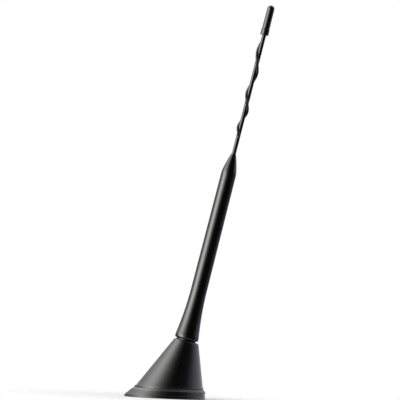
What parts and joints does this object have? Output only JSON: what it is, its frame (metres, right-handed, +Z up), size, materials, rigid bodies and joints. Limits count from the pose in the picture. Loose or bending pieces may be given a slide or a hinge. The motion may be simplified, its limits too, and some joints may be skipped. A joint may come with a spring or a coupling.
{
  "type": "roof antenna",
  "caption": "Vehicle roof antenna: a leaning cone base on a flared gasket, and a screw-on mast with a thick rubber body, a thin rod with a spiral ridge, and a tip cap.",
  "frame": {"origin": "on the roof's plane, at the mouth and axis of the fixing thread, which is also the middle of the gasket's foot", "axes": "+Z up, away from the roof along its normal; +X towards the vehicle's rear, the way the mast leans; the base is symmetric about the XZ plane"},
  "size_m": [0.0927, 0.0568, 0.2777],
  "materials": {
    "gasket_rubber": "moulded satin rubber",
    "die_cast_zinc": "as-cast zinc",
    "zinc_plated_steel": "zinc plated",
    "housing_plastic": "moulded satin black",
    "circuit_board": "lacquered laminate",
    "tinned_sheet": "tinned",
    "copper_wire": "enamelled copper",
    "turned_brass": "turned",
    "natural_plastic": "extruded natural plastic",
    "spring_steel": "drawn wire",
    "mast_rubber": "moulded satin rubber",
    "sleeve_plastic": "moulded semi-gloss black",
    "cap_plastic": "moulded satin black"
  },
  "bodies": {
    "base": {"base_gasket": "gasket_rubber", "base_plate": "die_cast_zinc", "lead_grommet": "gasket_rubber", "housing_screws": "zinc_plated_steel", "base_housing": "housing_plastic", "amplifier_board": "circuit_board", "board_screws": "zinc_plated_steel", "screening_can": "tinned_sheet", "filter_coils": "copper_wire", "board_capacitors": "tinned_sheet", "mast_socket": "turned_brass", "socket_nut": "zinc_plated_steel", "contact_strip": "turned_brass"},
    "seal": {"foot_seal": "gasket_rubber"},
    "mast": {"mast_stud": "turned_brass", "coil_former": "natural_plastic", "loading_coil": "copper_wire", "rod_ferrule": "turned_brass", "whip_rod": "spring_steel", "mast_body": "mast_rubber", "rod_sleeve": "sleeve_plastic", "tip_cap": "cap_plastic"}
  },
  "joints": [
    {"name": "mast_rise", "type": "slide", "parent": "base", "child": "seal", "axis": [0.2019, 0, 0.9794], "range_m": [0, 0.0088]},
    {"name": "mast_turn", "type": "hinge", "parent": "seal", "child": "mast", "pos_m": [0.0133, 0, 0.04045], "axis": [0.2019, 0, 0.9794], "range_deg": [0, 3960]}
  ],
  "couplings": [
    {"joint": "mast_turn", "follows": "mast_rise", "rad_per_m": 7854}
  ]
}
